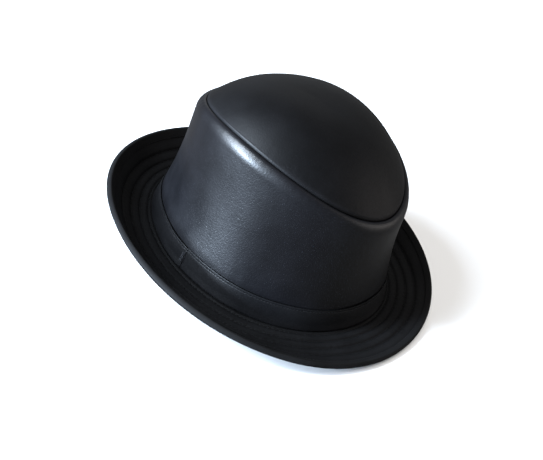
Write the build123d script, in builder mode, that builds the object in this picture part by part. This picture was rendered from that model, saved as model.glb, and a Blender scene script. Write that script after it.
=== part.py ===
from build123d import *
import os
from math import cos, exp, pi, radians, sin, sqrt

# Leather fedora hat, smooth crown, stitched brim.
# Frame: +Z up, front of the hat towards -Y, wearer's left towards +X.
# The origin is on the flat underside of the brim, in the middle of the head opening.

# ---- driving dimensions, millimetres ----
# head oval, measured on the outside of the crown where it meets the brim
head_half_length = 103.0
head_half_width = 86.5
head_egg = 0.10
# crown shoulder and tip seam
shoulder_half_length = 89.6
shoulder_half_width = 74.6
crown_shift = 3.7
shoulder_height = 89.5
height_tilt = -6.7
height_saddle = -9.6
wall_hollow = -2.5
seam_inset = 5.0
seam_rise = 9.6
dome_rise = 31.3
dome_power = 3.0
# brim
brim_width = 37.1
brim_width_end = 1.3
brim_width_side = -4.0
brim_rise = 17.2
brim_rise_end = -10.0
brim_rise_side = -5.4
brim_curl = 2.9
brim_inner = -2.3
flat_cut = 0.1
row_positions = (0.69, 0.485, 0.285, 0.10)
row_depth = 0.4
row_sharpness = 0.9
binding_width = 3.9
binding_thickness = 0.7
binding_nose = 1.0
# materials
leather = 1.1
tip_leather = 1.3
wall_stiffener = 0.8
lining = 0.5
brim_upper_leather = 1.0
brim_stiffener = 0.6
brim_lower_leather = 1.0
sweat_leather = 1.1
tape = 0.45
seam_tape = 0.6
gap = 0.05
thread_radius = 0.25
row_thread_radius = 0.25
thread_sides = 8
thread_step = 4.0
thread_end = 179.9
allowance = 4.5
# band and trims
band_height = 17.0
band_thickness = 1.0
band_inner_end = -106.0
band_outer_end = 265.0
band_lift_from = 245.0
band_lift_to = 253.0
tack_bottom = 5.0
tack_top = 12.5
tack_thickness = 0.6
band_stitch_drop = 2.2
binding_stitch_inset = 0.7
sweatband_height = 32.0
sweatband_drop = 2.3
head_tape_height = 7.0
back_tape_width = 12.0
back_gap = 0.4
lining_drop = 9.8
label_length = 56.0
label_width = 34.0
tab_width = 14.0
tab_bottom = 8.0
tab_height = 12.0

brim_thickness = brim_upper_leather + brim_stiffener + brim_lower_leather + 2 * gap
seam_half_length = shoulder_half_length - seam_inset
seam_half_width = shoulder_half_width - seam_inset
station_step = 15
stations = [station_step * i for i in range(-1, 180 // station_step + 2)]
stiffener_face = leather + 4 * gap
lining_face = stiffener_face + wall_stiffener + gap
tape_face = lining_face + lining + gap
sweat_face = tape_face + tape + 3 * gap
sweat_inside = sweat_face + sweat_leather
tip_edge = leather + gap
hem_face = tip_edge + 0.15
hem_thickness = 1.0
seam_tape_face = hem_face + hem_thickness + gap


def head_point(angle):
    """Point of the head oval; 0 degrees is the front, 180 the back."""
    a = radians(angle)
    return head_half_width * sin(a) * (1 + head_egg * cos(a)), -head_half_length * cos(a)


def head_normal(angle):
    """Outward horizontal direction, square to the head oval."""
    a = radians(angle)
    along_x = head_half_width * (cos(a) + head_egg * cos(2 * a))
    along_y = head_half_length * sin(a)
    size = sqrt(along_x**2 + along_y**2)
    return along_y / size, -along_x / size


def station_plane(angle):
    """Upright plane square to the head oval: local X is outward, local Y is up."""
    x, y = head_point(angle)
    nx, ny = head_normal(angle)
    return Plane(origin=(x, y, brim_thickness), x_dir=(nx, ny, 0), z_dir=(ny, -nx, 0))


def reach(angle, half_width, half_length):
    """How far outward from the head oval a crown ellipse is met; negative is inward."""
    x, y = head_point(angle)
    nx, ny = head_normal(angle)
    y = y + crown_shift
    p = (nx / half_width) ** 2 + (ny / half_length) ** 2
    q = 2 * (x * nx / half_width**2 + y * ny / half_length**2)
    r = (x / half_width) ** 2 + (y / half_length) ** 2 - 1
    return (-q + sqrt(q * q - 4 * p * r)) / (2 * p)


def sloped_height(x, y, half_width, half_length):
    """Height change of the crown's edge: lower at the front, lifted along the sides."""
    across = x / half_width
    ahead = -(y + crown_shift) / half_length
    return height_tilt * ahead + height_saddle * (ahead**2 - across**2)


def height_at(angle, distance, half_width, half_length):
    """Height change at a distance outward from the head oval."""
    x, y = head_point(angle)
    nx, ny = head_normal(angle)
    return sloped_height(x + distance * nx, y + distance * ny, half_width, half_length)


def dome_height(x, y, drop=0.0):
    """Height of the tip panel above the brim's upper face."""
    radius = sqrt((x / seam_half_width) ** 2 + ((y + crown_shift) / seam_half_length) ** 2)
    edge = sloped_height(x, y, seam_half_width, seam_half_length)
    return shoulder_height + seam_rise + edge + dome_rise * (1 - radius**dome_power) - drop


def shoulder_point(angle):
    """Where the wall starts to round over, in the station plane."""
    u = reach(angle, shoulder_half_width, shoulder_half_length)
    return u, shoulder_height + height_at(angle, u, shoulder_half_width, shoulder_half_length)


def seam_point(angle):
    """Where the wall meets the tip panel, in the station plane."""
    u = reach(angle, seam_half_width, seam_half_length)
    edge = height_at(angle, u, seam_half_width, seam_half_length)
    return u, shoulder_height + seam_rise + edge


def wall_run(angle, low, high, points=8):
    """Straight part of the wall's outer skin between two heights above the brim."""
    u1, v1 = shoulder_point(angle)
    run = []
    for i in range(points):
        v = low + (high - low) * i / (points - 1)
        s = v / v1
        run.append((u1 * max(0.0, s) + wall_hollow * sin(pi * max(0.0, min(1.0, s))), v))
    return run


def shoulder_run(angle, points=5):
    """Rounded shoulder of the wall, from its straight part to the seam."""
    u1, v1 = shoulder_point(angle)
    u2, v2 = seam_point(angle)
    run = []
    for i in range(1, points + 1):
        g = pi / 2 * i / points
        run.append((u1 + (u2 - u1) * (1 - cos(g)), v1 + (v2 - v1) * sin(g)))
    return run


def brim_sizes(angle):
    """Width of the brim and the height its edge is curled to."""
    a = radians(angle)
    width = brim_width + brim_width_end * cos(a) + brim_width_side * cos(2 * a)
    rise = brim_rise + brim_rise_end * cos(a) + brim_rise_side * cos(2 * a)
    return width, rise


def brim_run(angle, first, last, points=9):
    """Upper skin of the brim between two fractions of its width."""
    width, rise = brim_sizes(angle)
    run = []
    for i in range(points):
        f = first + (last - first) * i / (points - 1)
        run.append((width * f, rise * max(0.0, f) ** brim_curl))
    return run


def inner_share(angle):
    """The brim's inner edge as a fraction of its width there."""
    return brim_inner / brim_sizes(angle)[0]


def stitched_run(angle, first, last):
    """Upper skin of the brim, drawn down along each stitched row."""
    width, rise = brim_sizes(angle)
    spots = [first, last, last - 0.05]
    for row in row_positions:
        for step in (-2.6, -1.2, -0.5, 0.0, 0.5, 1.2, 2.6):
            spots.append(row + step / width)
    run = []
    for f in sorted(spots):
        away = [(f - row) * width / row_sharpness for row in row_positions]
        sunk = sum(row_depth * exp(-(x**2)) for x in away)
        slope = rise * brim_curl * max(0.0, f) ** (brim_curl - 1) / width
        size = sqrt(1 + slope * slope)
        height = rise * max(0.0, f) ** brim_curl
        run.append((width * f + sunk * slope / size, height - sunk / size))
    return run


def offset_run(run, distance):
    """The same run moved sideways; positive is to the right of its direction."""
    moved = []
    for i, (u, v) in enumerate(run):
        before = run[max(0, i - 1)]
        after = run[min(len(run) - 1, i + 1)]
        du = after[0] - before[0]
        dv = after[1] - before[1]
        size = sqrt(du * du + dv * dv)
        moved.append((u + distance * dv / size, v - distance * du / size))
    return moved


def level_foot(run, height):
    """The same run with its first point slid along it to a given height."""
    (u0, v0), (u1, v1) = run[0], run[1]
    return [(u0 + (height - v0) * (u1 - u0) / (v1 - v0), height)] + run[1:]


def slab(outer, inner):
    """Closed outline between two runs that go the same way."""
    back = inner[::-1]
    return [outer, [outer[-1], back[0]], back, [back[-1], outer[0]]]


def sections(outline, angles=stations):
    """One face per station, from an outline given as runs of points."""
    faces = []
    for angle in angles:
        with BuildSketch(station_plane(angle)) as section:
            with BuildLine():
                for run in outline(angle):
                    if len(run) > 2:
                        Spline(*run)
                    else:
                        Line(*run)
            make_face()
        faces.append(section.sketch.face())
    return faces


def thread_sections(centre, radius, first=-thread_end, last=thread_end):
    """Eight-sided sections of a thread, close enough together for straight runs between them."""
    count = round((last - first) / thread_step)
    faces = []
    for i in range(count + 1):
        angle = first + (last - first) * i / count
        with BuildSketch(station_plane(angle)) as section:
            with Locations(centre(angle)):
                RegularPolygon(radius, thread_sides)
        faces.append(section.sketch.face())
    return faces


def dome_face(drop):
    """Domed surface over the whole tip, lowered by a given drop."""
    count = 25
    reach_x = shoulder_half_width + 2
    reach_y = shoulder_half_length + 2
    grid = []
    for i in range(count):
        x = reach_x * (2 * i / (count - 1) - 1)
        row = []
        for j in range(count):
            y = reach_y * (2 * j / (count - 1) - 1) - crown_shift
            row.append((x, y, brim_thickness + dome_height(x, y, drop)))
        grid.append(row)
    return Face.make_surface_from_array_of_points(grid, tol=0.02)


# ---- crown ----
def wall_outline(angle):
    """Wall leather: skin, rounded shoulder, and its allowance turned down inside the tip seam."""
    skin = wall_run(angle, gap, shoulder_point(angle)[1]) + shoulder_run(angle)
    inside = level_foot(offset_run(skin, -leather), gap)
    u, v = seam_point(angle)
    inside[-1] = (u, v - leather)
    foot = v - allowance
    return [
        skin,
        [(u, v), (u - leather, v)],
        [(u - leather, v), (u - leather, foot)],
        [(u - leather, foot), (u, foot)],
        [(u, foot), inside[-1]],
        inside[::-1],
        [inside[0], skin[0]],
    ]


def tip_hem_outline(angle):
    """Allowance of the tip panel, turned down beside the wall's own."""
    u = reach(angle, seam_half_width - hem_face, seam_half_length - hem_face)
    v = seam_point(angle)[1]
    inner = u - hem_thickness
    return slab([(u, v - allowance), (u, v + 0.4)], [(inner, v - allowance), (inner, v + 0.4)])


def tip_tape_outline(angle):
    """Tape that covers both allowances on the inside."""
    u = reach(angle, seam_half_width - seam_tape_face, seam_half_length - seam_tape_face)
    v = seam_point(angle)[1]
    inner = u - seam_tape
    return slab([(u, v - allowance - 1.0), (u, v - 0.5)], [(inner, v - allowance - 1.0), (inner, v - 0.5)])


def tip_thread_centre(angle):
    """Thread line that lies in the sunken tip seam."""
    u, v = seam_point(angle)
    return u - leather / 2, v + thread_radius + gap


def wall_layer(angle, face, thickness, low, high):
    """Layer that follows the wall on its inside, between two heights."""
    run = wall_run(angle, low, high)
    outer = level_foot(offset_run(run, -face), low)
    inner = level_foot(offset_run(run, -face - thickness), low)
    return slab(outer, inner)


def wall_stiffener_outline(angle):
    return wall_layer(angle, stiffener_face, wall_stiffener, 2 * gap, shoulder_point(angle)[1] - 6.0)


def back_tape_outline(angle):
    return wall_layer(angle, stiffener_face, tape, 2 * gap, shoulder_point(angle)[1] - 6.0)


def wall_lining_outline(angle):
    return wall_layer(angle, lining_face, lining, 2 * gap, shoulder_point(angle)[1])


with BuildPart() as crown_wall:
    loft(sections(wall_outline))
    split(bisect_by=Plane.YZ, keep=Keep.TOP)
    mirror(about=Plane.YZ)
    with Locations((0, head_half_length, shoulder_height / 2)):
        Box(back_gap, head_half_length, 3 * shoulder_height, mode=Mode.SUBTRACT)

with BuildPart() as crown_tip:
    extrude(dome_face(0), amount=tip_leather, dir=(0, 0, -1))
    with BuildSketch():
        with Locations((0, -crown_shift)):
            Ellipse(seam_half_width - tip_edge, seam_half_length - tip_edge)
    extrude(amount=3 * shoulder_height, mode=Mode.INTERSECT)
    hem = loft(sections(tip_hem_outline), mode=Mode.PRIVATE)
    half_hem = split(hem, bisect_by=Plane.YZ, keep=Keep.TOP, mode=Mode.PRIVATE)
    add(half_hem)
    mirror(half_hem, about=Plane.YZ)

with BuildPart() as tip_interlining:
    extrude(dome_face(tip_leather + gap), amount=wall_stiffener, dir=(0, 0, -1))
    with BuildSketch():
        with Locations((0, -crown_shift)):
            Ellipse(seam_half_width - seam_tape_face - 1.0, seam_half_length - seam_tape_face - 1.0)
    extrude(amount=3 * shoulder_height, mode=Mode.INTERSECT)

with BuildPart() as tip_lining:
    extrude(dome_face(lining_drop), amount=lining, dir=(0, 0, -1))
    with BuildSketch():
        with Locations((0, -crown_shift)):
            Ellipse(shoulder_half_width - lining_face - 1.0, shoulder_half_length - lining_face - 1.0)
    extrude(amount=3 * shoulder_height, mode=Mode.INTERSECT)

with BuildPart() as lining_label:
    extrude(dome_face(lining_drop + lining + gap), amount=tape, dir=(0, 0, -1))
    with BuildSketch():
        with Locations((0, -crown_shift)):
            RectangleRounded(label_width, label_length, 2.0)
    extrude(amount=3 * shoulder_height, mode=Mode.INTERSECT)

with BuildPart() as tip_seam_tape:
    loft(sections(tip_tape_outline))
    split(bisect_by=Plane.YZ, keep=Keep.TOP)
    mirror(about=Plane.YZ)

with BuildPart() as tip_seam_thread:
    loft(thread_sections(tip_thread_centre, thread_radius), ruled=True)

# the wall's interlining stops either side of the back seam, where the tape lies
with BuildPart() as wall_interlining:
    loft(sections(wall_stiffener_outline))
    split(bisect_by=Plane.YZ, keep=Keep.TOP)
    mirror(about=Plane.YZ)
    with Locations((0, head_half_length, shoulder_height / 2)):
        Box(back_tape_width + 1.0, head_half_length, 3 * shoulder_height, mode=Mode.SUBTRACT)

with BuildPart() as back_seam_tape:
    loft(sections(back_tape_outline))
    split(bisect_by=Plane.YZ, keep=Keep.TOP)
    mirror(about=Plane.YZ)
    with Locations((0, head_half_length, shoulder_height / 2)):
        Box(back_tape_width, head_half_length, 3 * shoulder_height, mode=Mode.INTERSECT)

with BuildPart() as wall_lining:
    loft(sections(wall_lining_outline))
    split(bisect_by=Plane.YZ, keep=Keep.TOP)
    mirror(about=Plane.YZ)


# ---- sweatband ----
def head_tape_outline(angle):
    return wall_layer(angle, tape_face, tape, -sweatband_drop, head_tape_height)


def sweatband_outline(angle):
    return wall_layer(angle, sweat_face, sweat_leather, -sweatband_drop, sweatband_height)


def size_tab_outline(angle):
    return wall_layer(angle, sweat_inside + gap, tape, tab_bottom, tab_bottom + tab_height)


def sweat_thread_centre(angle):
    run = wall_run(angle, -sweatband_drop, sweatband_height)
    face = offset_run(run, -sweat_inside - thread_radius - 3 * gap)
    return face[0][0] * 0.8 + face[1][0] * 0.2, face[0][1] * 0.8 + face[1][1] * 0.2


with BuildPart() as head_seam_tape:
    loft(sections(head_tape_outline))
    split(bisect_by=Plane.YZ, keep=Keep.TOP)
    mirror(about=Plane.YZ)

with BuildPart() as sweatband:
    loft(sections(sweatband_outline))
    split(bisect_by=Plane.YZ, keep=Keep.TOP)
    mirror(about=Plane.YZ)
    with Locations((0, head_half_length, 0)):
        Box(back_gap, head_half_length, 3 * sweatband_height, mode=Mode.SUBTRACT)

with BuildPart() as sweatband_thread:
    loft(thread_sections(sweat_thread_centre, thread_radius), ruled=True)

with BuildPart() as size_tab:
    loft(sections(size_tab_outline))
    split(bisect_by=Plane.YZ, keep=Keep.TOP)
    mirror(about=Plane.YZ)
    with Locations((0, head_half_length, 0)):
        Box(tab_width, head_half_length, 3 * sweatband_height, mode=Mode.INTERSECT)


# ---- hat band ----
def band_lift(angle):
    """How far the band's outer end rides up over its inner end."""
    travel = (angle - band_lift_from) / (band_lift_to - band_lift_from)
    share = max(0.0, min(1.0, travel))
    return (band_thickness + 3 * gap) * share * share * (3 - 2 * share)


def band_outline(angle):
    low = 3 * gap + band_lift(angle)
    run = wall_run(angle, 2 * gap, band_height)
    outer = level_foot(offset_run(run, low + band_thickness), 2 * gap)
    inner = level_foot(offset_run(run, low), 2 * gap)
    return slab(outer, inner)


def band_thread_centre(angle):
    height = band_height - band_stitch_drop
    run = wall_run(angle, height - 1.0, height + 1.0, 3)
    return offset_run(run, 5 * gap + band_thickness + band_lift(angle) + thread_radius)[1]


def tack_outline(angle):
    run = wall_run(angle, tack_bottom, tack_top, 3)
    low = 8 * gap + band_thickness + band_lift(angle)
    return slab(offset_run(run, low + tack_thickness), offset_run(run, low))


# the stations close up towards the lifted outer end
lift_steps = (-38, -29, -21, -14, -6, 0, 4, 8, 12, 16)
band_stations = [band_inner_end] + [station_step * i for i in range(-6, 14)]
band_stations += [band_lift_from + step for step in lift_steps] + [band_outer_end]
tack_stations = [band_outer_end - 2.2, band_outer_end - 1.7, band_outer_end - 1.2]

# one strip, wrapped once round the crown, its outer end laid over its inner end
with BuildPart() as hat_band:
    loft(sections(band_outline, band_stations))

with BuildPart() as band_tack:
    loft(sections(tack_outline, tack_stations))

with BuildPart() as band_edge_thread:
    stitched = thread_sections(band_thread_centre, thread_radius, band_outer_end - 359.0, band_outer_end)
    loft(stitched, ruled=True)


# ---- brim ----
def brim_upper_outline(angle):
    top = stitched_run(angle, inner_share(angle), 1.0)
    under = offset_run(brim_run(angle, inner_share(angle), 1.0), brim_upper_leather)
    return slab(top, under)


def brim_layer(angle, drop, thickness):
    run = brim_run(angle, inner_share(angle), 1.0)
    return slab(offset_run(run, drop), offset_run(run, drop + thickness))


def brim_interlining_outline(angle):
    return brim_layer(angle, brim_upper_leather + gap, brim_stiffener)


def brim_lower_outline(angle):
    return brim_layer(angle, brim_thickness - brim_lower_leather, brim_lower_leather + flat_cut)


def binding_outline(angle):
    """Strip folded round the brim's edge."""
    width = brim_sizes(angle)[0]
    start = 1 - binding_width / width
    run = brim_run(angle, start, 1.0, 7)
    upper = offset_run(run, -gap - binding_thickness)
    lower = offset_run(run, brim_thickness + flat_cut + gap + binding_thickness)
    inner_upper = offset_run(run, -gap)
    inner_lower = offset_run(run, brim_thickness + flat_cut + gap)
    du = run[-1][0] - run[-2][0]
    dv = run[-1][1] - run[-2][1]
    size = sqrt(du * du + dv * dv)
    out = (du / size, dv / size)
    middle = offset_run(run, brim_thickness / 2)[-1]
    half = brim_thickness / 2 + binding_thickness
    nose = []
    for turn in (0.35, 0.7, 1.0):
        nose.append((turn, sqrt(1 - turn * turn)))
    shape = []
    for forward, side in nose:
        shape.append((forward * binding_nose, side * half))
    for forward, side in nose[1::-1]:
        shape.append((forward * binding_nose, -side * half))
    tip = [(middle[0] + f * out[0] - s * out[1], middle[1] + f * out[1] + s * out[0]) for f, s in shape]
    pocket = 0.2
    corner_top = (inner_upper[-1][0] + pocket * out[0], inner_upper[-1][1] + pocket * out[1])
    corner_low = (inner_lower[-1][0] + pocket * out[0], inner_lower[-1][1] + pocket * out[1])
    skin = upper[:-1] + tip + lower[-2::-1]
    return [
        skin,
        [skin[-1], inner_lower[0]],
        inner_lower[:-1] + [corner_low],
        [corner_low, corner_top],
        [corner_top] + inner_upper[-2::-1],
        [inner_upper[0], skin[0]],
    ]


def binding_thread_centre(angle):
    width = brim_sizes(angle)[0]
    start = 1 - (binding_width - binding_stitch_inset) / width
    return offset_run(brim_run(angle, start, 1.0, 7), -2 * gap - binding_thickness - thread_radius)[0]


def row_thread_centre(row):
    def centre(angle):
        run = brim_run(angle, row - 0.02, row + 0.02, 3)
        return offset_run(run, row_depth - row_thread_radius - 2 * gap)[1]

    return centre


with BuildPart() as brim_upper:
    loft(sections(brim_upper_outline))
    split(bisect_by=Plane.YZ, keep=Keep.TOP)
    mirror(about=Plane.YZ)

with BuildPart() as brim_interlining:
    loft(sections(brim_interlining_outline))
    split(bisect_by=Plane.YZ, keep=Keep.TOP)
    mirror(about=Plane.YZ)

# the underside is trimmed flat where the hat stands
with BuildPart() as brim_lower:
    loft(sections(brim_lower_outline))
    split(bisect_by=Plane.YZ, keep=Keep.TOP)
    mirror(about=Plane.YZ)
    split(bisect_by=Plane.XY, keep=Keep.TOP)

with BuildPart() as brim_binding:
    loft(sections(binding_outline))
    split(bisect_by=Plane.YZ, keep=Keep.TOP)
    mirror(about=Plane.YZ)

with BuildPart() as binding_thread:
    loft(thread_sections(binding_thread_centre, thread_radius), ruled=True)

row_threads = []
for row in row_positions:
    with BuildPart() as brim_row_thread:
        loft(thread_sections(row_thread_centre(row), row_thread_radius), ruled=True)
    row_threads.append(brim_row_thread)

# ---- export ----
pieces = {
    "crown_wall": crown_wall,
    "crown_tip": crown_tip,
    "tip_interlining": tip_interlining,
    "tip_lining": tip_lining,
    "lining_label": lining_label,
    "tip_seam_tape": tip_seam_tape,
    "tip_seam_thread": tip_seam_thread,
    "wall_interlining": wall_interlining,
    "back_seam_tape": back_seam_tape,
    "wall_lining": wall_lining,
    "head_seam_tape": head_seam_tape,
    "sweatband": sweatband,
    "sweatband_thread": sweatband_thread,
    "size_tab": size_tab,
    "hat_band": hat_band,
    "band_tack": band_tack,
    "band_edge_thread": band_edge_thread,
    "brim_upper": brim_upper,
    "brim_interlining": brim_interlining,
    "brim_lower": brim_lower,
    "brim_binding": brim_binding,
    "binding_thread": binding_thread,
}
for i, brim_row_thread in enumerate(row_threads):
    pieces[f"brim_row_thread_{i + 1}"] = brim_row_thread

os.makedirs("parts", exist_ok=True)
for name, piece in pieces.items():
    piece.part.label = name
    export_step(piece.part, f"parts/{name}.step")
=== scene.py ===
"""Black leather fedora: the looks of each piece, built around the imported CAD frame."""

import math

import bpy
import numpy as np
from mathutils import Matrix, Vector


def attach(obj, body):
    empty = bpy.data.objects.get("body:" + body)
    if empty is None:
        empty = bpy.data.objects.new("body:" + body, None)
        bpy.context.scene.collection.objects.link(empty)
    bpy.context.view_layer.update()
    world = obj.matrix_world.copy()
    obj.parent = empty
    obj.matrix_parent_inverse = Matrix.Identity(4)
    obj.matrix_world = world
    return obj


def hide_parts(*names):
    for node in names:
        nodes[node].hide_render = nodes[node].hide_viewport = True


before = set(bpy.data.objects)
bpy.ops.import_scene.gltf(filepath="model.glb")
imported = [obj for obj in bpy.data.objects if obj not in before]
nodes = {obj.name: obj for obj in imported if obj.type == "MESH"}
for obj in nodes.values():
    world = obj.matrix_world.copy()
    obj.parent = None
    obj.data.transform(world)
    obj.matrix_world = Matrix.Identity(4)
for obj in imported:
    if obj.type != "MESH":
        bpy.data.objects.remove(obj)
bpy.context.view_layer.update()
MM = 0.001
TAU = 2 * math.pi

# ---- shape of the hat, millimetres, the same as the CAD model's ----
# Head oval at the foot of the crown: half length, half width, and how much wider the front is.
HEAD_LENGTH, HEAD_WIDTH, HEAD_EGG = 103.0, 86.5, 0.10
# Crown: shoulder oval, its height and slope, the wall's hollow, the tip's seam and the dome.
SHOULDER_LENGTH, SHOULDER_WIDTH, CROWN_SHIFT = 89.6, 74.6, 3.7
SHOULDER_HEIGHT, TILT, SADDLE, HOLLOW = 89.5, -6.7, -9.6, -2.5
SEAM_INSET, SEAM_RISE, DOME_RISE, DOME_POWER = 5.0, 9.6, 31.3, 3.0
SEAM_LENGTH, SEAM_WIDTH = SHOULDER_LENGTH - SEAM_INSET, SHOULDER_WIDTH - SEAM_INSET
# Brim: width and rise as mean, front-back and side terms, stitched rows as shares of its width.
BRIM = (37.1, 1.3, -4.0)
RISE = (17.2, -10.0, -5.4)
CURL, BRIM_INNER = 2.9, -2.3
ROWS = (0.69, 0.485, 0.285, 0.10)
RIDGE, GROOVE, UNDER_GROOVE = 0.62, 0.36, 0.34
UPPER, STIFF, LOWER, BINDING, GAP = 1.0, 0.6, 1.0, 0.7, 0.05
DECK = UPPER + STIFF + LOWER + 2 * GAP
BINDING_WIDTH, BINDING_NOSE = 3.9, 1.0
# Depths in from the wall's outer skin, and heights.
SWEAT_FACE, SWEAT_INSIDE, SWEAT_DROP, SWEAT_TOP = 3.3, 4.4, 2.3, 31.95
WALL_LEATHER, TIP_LEATHER = 1.05, 1.15
LINING_FACE, LINING_INSIDE, LINING_DROP = 2.2, 2.65, 9.8
# Band: its ends and its ramp over the inner end are angles in degrees from the front.
BAND_HEIGHT, BAND_THICKNESS, FLUSH = 17.0, 1.0, 0.7
BAND_START, BAND_END, LIFT_FROM, LIFT_TO = -106.0, 265.0, 245.0, 253.0
BAND_ROW = BAND_HEIGHT - 2.2
TACK_LOW, TACK_HIGH, TACK_WIDTH = 5.2, 12.3, 2.3
LABEL_HALF_WIDTH, LABEL_HALF_LENGTH = 17.0, 28.0
TAB_HALF_WIDTH, TAB_HALF_HEIGHT, TAB_MIDDLE = 7.0, 6.0, 14.0
# Stitches: pitch, the share of it that shows, and the thread's radius.
SEAM_STITCH, SWEAT_STITCH = (3.0, 0.9, 0.26), (3.0, 0.82, 0.24)
ROW_STITCH, UNDER_STITCH = (3.0, 0.82, 0.23), (3.0, 0.82, 0.18)
BINDING_STITCH, BAND_STITCH = (2.6, 0.8, 0.2), (2.4, 0.78, 0.2)
TACK_STITCH = (TACK_WIDTH, 0.98, 0.24)


# ---- shape functions ----
def head_frame(t):
    """Points and outward directions of the head oval; t is 0 at the front, pi at the back."""
    x = HEAD_WIDTH * np.sin(t) * (1 + HEAD_EGG * np.cos(t))
    y = -HEAD_LENGTH * np.cos(t)
    dx = HEAD_WIDTH * (np.cos(t) + HEAD_EGG * np.cos(2 * t))
    dy = HEAD_LENGTH * np.sin(t)
    size = np.hypot(dx, dy)
    return np.stack([x, y], -1), np.stack([dy / size, -dx / size], -1)


def place(t, u, v):
    """World points, in metres, of profile points (u outward, v up) at angles t."""
    p, n = head_frame(t)
    x = p[:, None, 0] + n[:, None, 0] * u
    y = p[:, None, 1] + n[:, None, 1] * u
    return np.stack([x, y, np.broadcast_to(v + DECK, x.shape)], -1) * MM


def reach(t, width, length):
    """Distance outward from the head oval to an oval of the crown; negative is inward."""
    p, n = head_frame(t)
    x, y = p[:, 0], p[:, 1] + CROWN_SHIFT
    a = (n[:, 0] / width) ** 2 + (n[:, 1] / length) ** 2
    b = 2 * (x * n[:, 0] / width**2 + y * n[:, 1] / length**2)
    c = (x / width) ** 2 + (y / length) ** 2 - 1
    return (-b + np.sqrt(b * b - 4 * a * c)) / (2 * a)


def sloped(x, y, width, length):
    """Rise of the crown's top edge over a point: lower at the front, and at both sides."""
    across, ahead = x / width, -(y + CROWN_SHIFT) / length
    return TILT * ahead + SADDLE * (ahead**2 - across**2)


def height_at(t, u, width, length):
    """The same rise for a point at distance u outward from the head oval."""
    p, n = head_frame(t)
    return sloped(p[:, 0] + u * n[:, 0], p[:, 1] + u * n[:, 1], width, length)


def dome(x, y):
    """Height of the tip's outer skin over the brim's upper skin."""
    r = np.sqrt((x / SEAM_WIDTH) ** 2 + ((y + CROWN_SHIFT) / SEAM_LENGTH) ** 2)
    edge = sloped(x, y, SEAM_WIDTH, SEAM_LENGTH)
    return SHOULDER_HEIGHT + SEAM_RISE + edge + DOME_RISE * (1 - r**DOME_POWER)


def shoulder(t):
    """Outward distance and height of the wall's shoulder."""
    u = reach(t, SHOULDER_WIDTH, SHOULDER_LENGTH)
    return u, SHOULDER_HEIGHT + height_at(t, u, SHOULDER_WIDTH, SHOULDER_LENGTH)


def seam_level(tau):
    """Height of the seam between wall and tip over the underside, by the tip's own angle."""
    x, y = SEAM_WIDTH * np.sin(tau), -SEAM_LENGTH * np.cos(tau) - CROWN_SHIFT
    return SHOULDER_HEIGHT + SEAM_RISE + sloped(x, y, SEAM_WIDTH, SEAM_LENGTH) + DECK


def seam(t):
    """Outward distance and height of the seam between wall and tip."""
    u = reach(t, SEAM_WIDTH, SEAM_LENGTH)
    return u, SHOULDER_HEIGHT + SEAM_RISE + height_at(t, u, SEAM_WIDTH, SEAM_LENGTH)


def wall_at(t, v):
    """Outward reach of the wall's outer skin at heights v (angles by heights)."""
    u1, v1 = shoulder(t)
    s = v / v1[:, None]
    c = np.clip(s, 0, 1)
    return u1[:, None] * np.maximum(s, 0) + HOLLOW * np.sin(math.pi * c)


def brim_size(t):
    """Width and rise of the brim at angles t."""
    c, c2 = np.cos(t), np.cos(2 * t)
    return BRIM[0] + BRIM[1] * c + BRIM[2] * c2, RISE[0] + RISE[1] * c + RISE[2] * c2


def brim_at(t, f):
    """Upper skin of the brim at fractions f of its width, and its upward normal."""
    w, r = brim_size(t)
    w, r = w[:, None], r[:, None]
    fp = np.maximum(f, 0)
    u, v = w * f, r * fp**CURL
    slope = r * CURL * fp ** (CURL - 1) / w
    size = np.sqrt(1 + slope**2)
    return u, v, -slope / size, 1 / size


def soft_noise(t, w, waves, turns, amp, seed):
    """Smooth seeded unevenness, periodic round the hat."""
    rng = np.random.default_rng(seed)
    total = 0
    for _ in range(waves):
        k = rng.integers(turns[0], turns[1] + 1)
        total = total + np.sin(k * t + rng.uniform(-3, 3) * w + rng.uniform(0, TAU))
    return amp * total / math.sqrt(waves)


def bell(x, width):
    """Smooth bump, 1 at zero."""
    return np.exp(-((x / width) ** 2))


def ring_angles(count):
    """Angles round the hat, closer together at the centre back."""
    near = np.array([0.12, 0.3, 0.5, 0.8, 1.2, 1.8]) / HEAD_WIDTH
    even = np.linspace(0, TAU, count, endpoint=False)
    even = even[np.abs(even - math.pi) > 2.6 / HEAD_WIDTH]
    return np.sort(np.concatenate([even, math.pi + near, math.pi - near, [math.pi]]))


# ---- mesh helpers ----
def add_mesh(name, verts, faces, material, wear_and_painted_light=None):
    """New smooth-shaded mesh object; the per-point lightening mask, 0 to 1, is read by the leather: real
    wear, and on the brim and binding also painted light.
    """
    mesh = bpy.data.meshes.new(name)
    mesh.from_pydata(verts.reshape(-1, 3).tolist(), [], faces)
    mesh.polygons.foreach_set("use_smooth", [True] * len(mesh.polygons))
    if wear_and_painted_light is not None:
        layer = mesh.attributes.new("wear_and_painted_light", "FLOAT", "POINT")
        layer.data.foreach_set("value", np.ravel(wear_and_painted_light).astype(np.float32))
    mesh.update()
    obj = bpy.data.objects.new(name, mesh)
    bpy.context.scene.collection.objects.link(obj)
    obj.data.materials.append(material)
    return obj


def tube_faces(n, m, closed=True):
    """Quads of a grid of n sections by m points; each section is a closed loop."""
    i = np.arange(n if closed else n - 1)[:, None]
    j = np.arange(m)[None, :]
    i2, j2 = (i + 1) % n, (j + 1) % m
    quads = np.stack(np.broadcast_arrays(i * m + j, i * m + j2, i2 * m + j2, i2 * m + j), -1)
    faces = quads.reshape(-1, 4).tolist()
    if not closed:
        faces.append(list(range(m))[::-1])
        faces.append([(n - 1) * m + k for k in range(m)])
    return faces


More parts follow.
